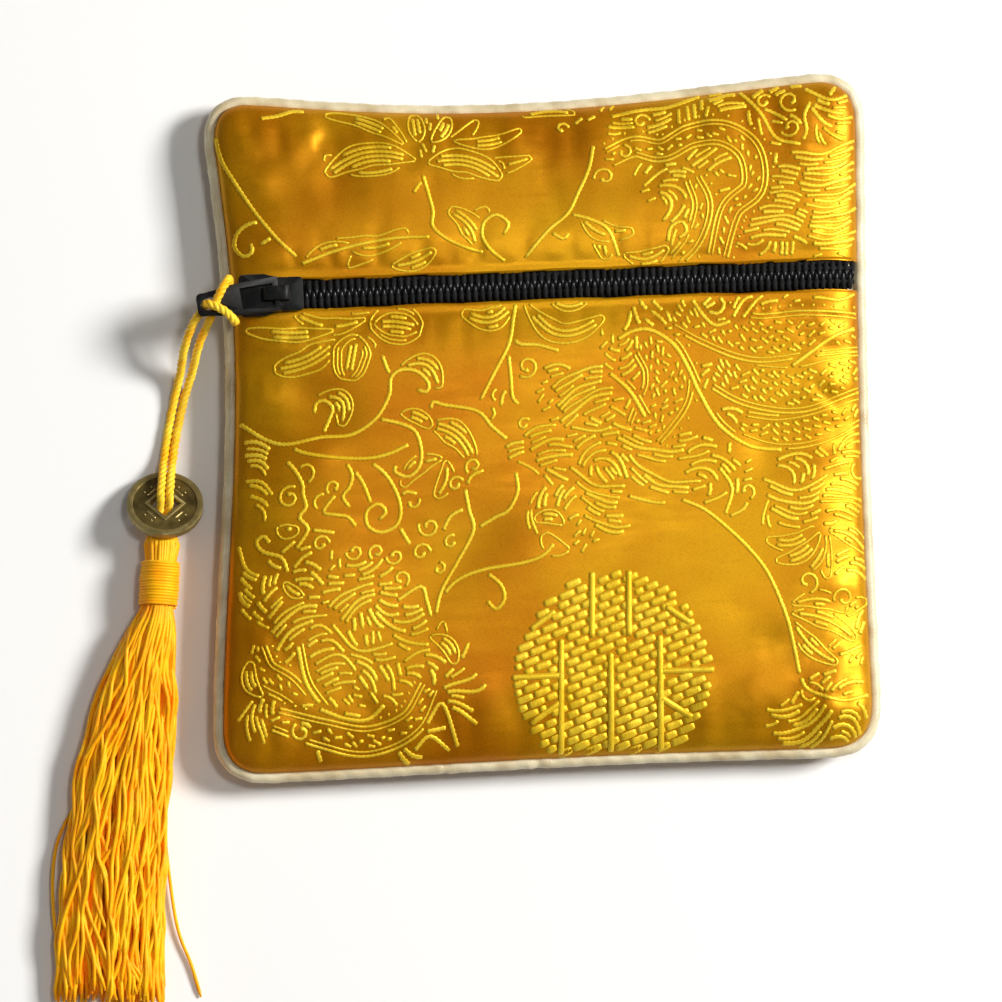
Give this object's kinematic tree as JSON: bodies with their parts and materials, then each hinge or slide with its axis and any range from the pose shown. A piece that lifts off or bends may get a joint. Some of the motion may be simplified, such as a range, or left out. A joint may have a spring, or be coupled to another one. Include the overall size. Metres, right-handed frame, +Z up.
{
  "type": "chinese embroidered purse",
  "caption": "Flat square zip purse of gold figured silk with cream piping; its zip pull holds a looped cord with a square-holed coin and a yellow silk tassel",
  "frame": {"origin": "middle of the pouch's underside, on the table that it lies on; the cord, coin and tassel beside it aren't counted", "axes": "+X along the zip, away from its closed slider; +Y from the bottom edge to the top edge; +Z up from the table, out of the front"},
  "size_m": [0.1467, 0.156, 0.0146],
  "materials": {
    "gold_brocade": "golden yellow silk satin with a raised figured weave, soft sheen",
    "cream_satin": "cream satin bias binding over a cord, soft sheen",
    "black_tape": "black woven polyester tape, matt",
    "black_nylon": "black moulded nylon coil, slight shine",
    "black_enamel": "black baked enamel on cast metal, worn a little grey at its edges",
    "yellow_cord": "twisted yellow rayon cord with orange in its depths",
    "old_brass": "dull aged brass with brighter rims",
    "yellow_silk": "yellow rayon floss, glossy, orange between its threads"
  },
  "bodies": {
    "root": {"back_panel": "gold_brocade", "front_lower_panel": "gold_brocade", "front_upper_panel": "gold_brocade", "piping": "cream_satin", "zip_tape_lower": "black_tape", "zip_tape_upper": "black_tape", "zip_coil_lower": "black_nylon", "zip_coil_upper": "black_nylon", "zip_slider": "black_enamel", "zip_pull": "black_enamel", "pull_cord": "yellow_cord", "coin": "old_brass", "tassel": "yellow_silk", "tassel_binding": "yellow_silk"}
  },
  "joints": []
}
